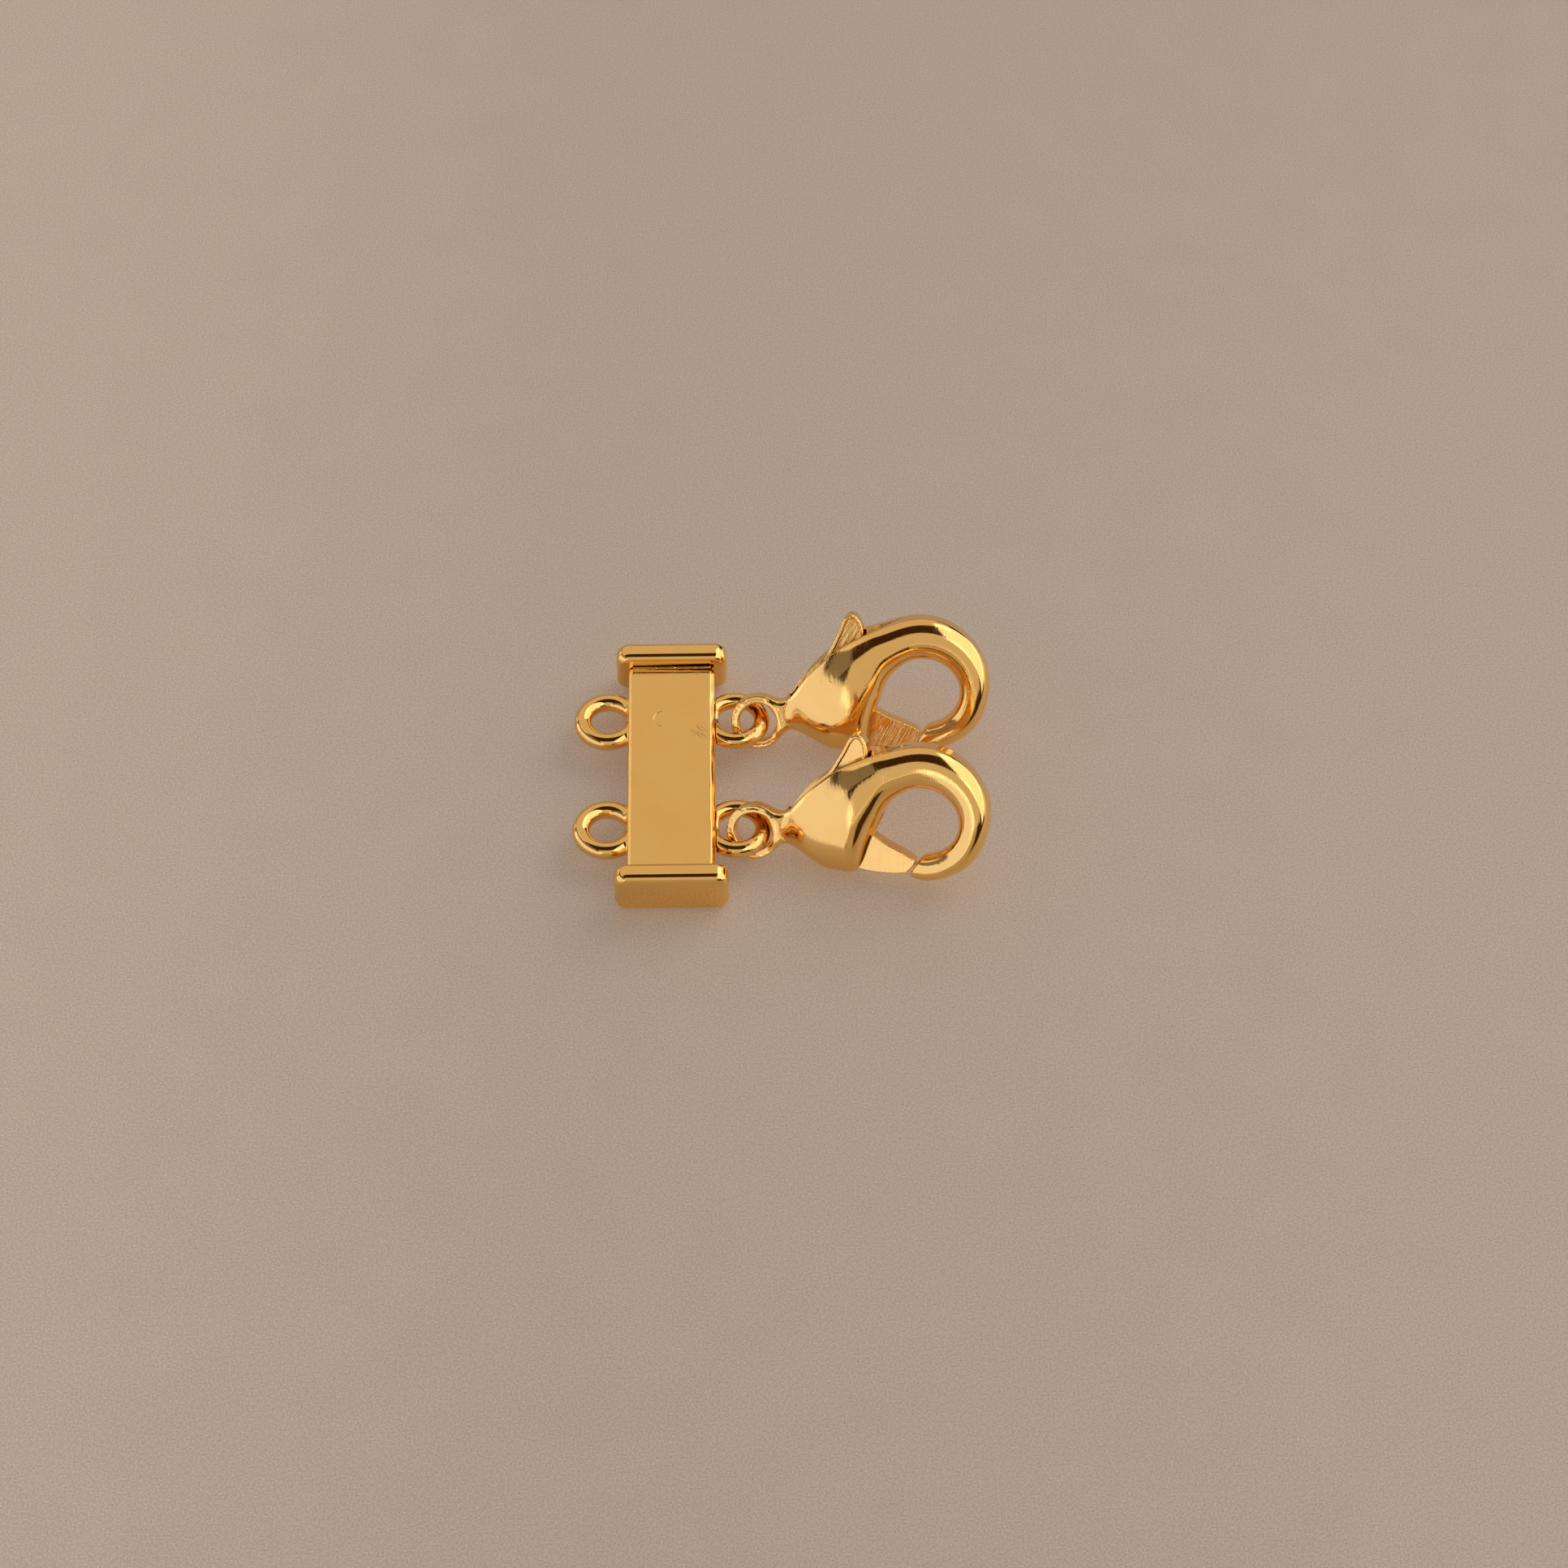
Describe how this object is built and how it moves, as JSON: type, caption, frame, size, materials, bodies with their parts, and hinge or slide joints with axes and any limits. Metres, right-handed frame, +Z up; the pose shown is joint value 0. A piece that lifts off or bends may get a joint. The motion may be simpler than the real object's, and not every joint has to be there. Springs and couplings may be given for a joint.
{
  "type": "multi-strand clasp",
  "caption": "Flat slide-lock clasp lying on its face, with wire rings for strands on one long side and a sprung lobster claw linked straight through each ring on the other.",
  "frame": {"origin": "middle of the near end cap's underside, on the surface that the clasp lies on", "axes": "+Y along the slide bar, from the near cap to the far cap; +X from the bar to the lobster claws; +Z up, away from the surface"},
  "size_m": [0.0211, 0.0154, 0.0066],
  "materials": {
    "lock": "polished gold plate",
    "claw": "polished gold plate",
    "lever": "satin gold plate",
    "pin": "plain gold plate"
  },
  "bodies": {
    "lock": {"slide_bar": "lock", "near_claw_body": "claw", "near_pivot_pin": "pin", "far_claw_body": "claw", "far_pivot_pin": "pin"},
    "tube": {"slide_tube": "lock"},
    "near_lever": {"near_claw_lever": "lever"},
    "far_lever": {"far_claw_lever": "lever"}
  },
  "joints": [
    {"name": "tube_slide", "type": "slide", "parent": "lock", "child": "tube", "axis": [0, 1, 0], "range_m": [0, 0.0125]},
    {"name": "near_lever_hinge", "type": "hinge", "parent": "lock", "child": "near_lever", "pos_m": [0.00823, 0.00344, 0.00277], "axis": [-0.2235, -0.7701, 0.5974], "range_deg": [0, 26], "stiffness_Nm_per_rad": 0.005, "springref_deg": -10},
    {"name": "far_lever_hinge", "type": "hinge", "parent": "lock", "child": "far_lever", "pos_m": [0.00845, 0.01114, 0.00277], "axis": [-0.1031, -0.7953, 0.5974], "range_deg": [0, 26], "stiffness_Nm_per_rad": 0.005, "springref_deg": -10}
  ]
}
